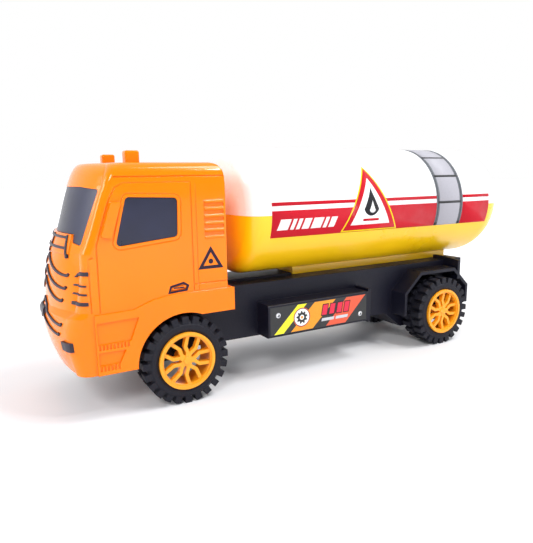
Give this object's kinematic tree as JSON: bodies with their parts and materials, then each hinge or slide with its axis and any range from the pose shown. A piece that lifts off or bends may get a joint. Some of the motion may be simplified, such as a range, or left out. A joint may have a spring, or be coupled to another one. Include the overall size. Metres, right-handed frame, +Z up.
{
  "type": "toy tanker truck",
  "caption": "Toy tanker truck: moulded cab, two-part round tank on a box chassis with side boxes and mudguards, treaded wheels on steel axles, and a geared flywheel motor.",
  "frame": {"origin": "centre of the bounding box at floor level, under the tyres", "axes": "+X towards the rear end of the tank, +Y to the truck's right side, +Z up"},
  "size_m": [0.3566, 0.0936, 0.1497],
  "materials": {
    "cab_orange": "gloss orange moulded plastic",
    "rim_orange": "satin orange moulded plastic",
    "tank_white": "gloss white moulded plastic",
    "tank_yellow": "gloss yellow moulded plastic",
    "chassis_black": "fine-textured black moulded plastic",
    "trim_black": "black painted trim",
    "window_tint": "dark tinted opaque glazing",
    "tyre_black": "soft black tyre",
    "label_print": "printed vinyl sticker",
    "ladder_print": "printed vinyl sticker",
    "box_print": "printed vinyl sticker",
    "axle_steel": "drawn steel rod",
    "gear_white": "natural white nylon",
    "case_grey": "grey moulded plastic",
    "flywheel_zinc": "cast zinc flywheel",
    "screw_steel": "plated steel"
  },
  "bodies": {
    "root": {"cab_shell": "cab_orange", "tank_upper_shell": "tank_white", "tank_lower_shell": "tank_yellow", "chassis_frame": "chassis_black", "base_plate": "chassis_black", "windshield": "window_tint", "side_window_left": "window_tint", "side_window_right": "window_tint", "grille_bars": "trim_black", "headlamp_bars_left": "trim_black", "headlamp_bars_right": "trim_black", "fog_lamp_left": "trim_black", "fog_lamp_right": "trim_black", "cowl_frame": "trim_black", "tank_label_left": "label_print", "tank_label_right": "label_print", "ladder_label": "ladder_print", "box_label_left": "box_print", "box_label_right": "box_print", "motor_case_left": "case_grey", "motor_case_right": "case_grey", "idler_shaft": "axle_steel", "flywheel_shaft": "axle_steel", "motor_screw": "screw_steel", "cab_screws": "screw_steel", "tank_screws": "screw_steel", "base_screws": "screw_steel"},
    "front_wheelset": {"rim_front_left": "rim_orange", "rim_front_right": "rim_orange", "tyre_front_left": "tyre_black", "tyre_front_right": "tyre_black", "front_axle": "axle_steel"},
    "rear_wheelset": {"rim_rear_left": "rim_orange", "rim_rear_right": "rim_orange", "tyre_rear_left": "tyre_black", "tyre_rear_right": "tyre_black", "rear_axle": "axle_steel", "drive_gear": "gear_white"},
    "idler": {"idler_gear": "gear_white"},
    "flywheel": {"flywheel": "flywheel_zinc"}
  },
  "joints": [
    {"name": "front_axle_spin", "type": "hinge", "parent": "root", "child": "front_wheelset", "pos_m": [-0.10729, 0, 0.026], "axis": [0, 1, 0], "continuous": true},
    {"name": "rear_axle_spin", "type": "hinge", "parent": "root", "child": "rear_wheelset", "pos_m": [0.10271, 0, 0.026], "axis": [0, 1, 0], "continuous": true},
    {"name": "idler_spin", "type": "hinge", "parent": "root", "child": "idler", "pos_m": [0.09422, 0, 0.03449], "axis": [0, 1, 0], "continuous": true},
    {"name": "flywheel_spin", "type": "hinge", "parent": "root", "child": "flywheel", "pos_m": [0.08464, 0, 0.0412], "axis": [0, 1, 0], "continuous": true}
  ],
  "couplings": [
    {"joint": "idler_spin", "follows": "rear_axle_spin", "ratio": -3},
    {"joint": "flywheel_spin", "follows": "rear_axle_spin", "ratio": 10}
  ]
}
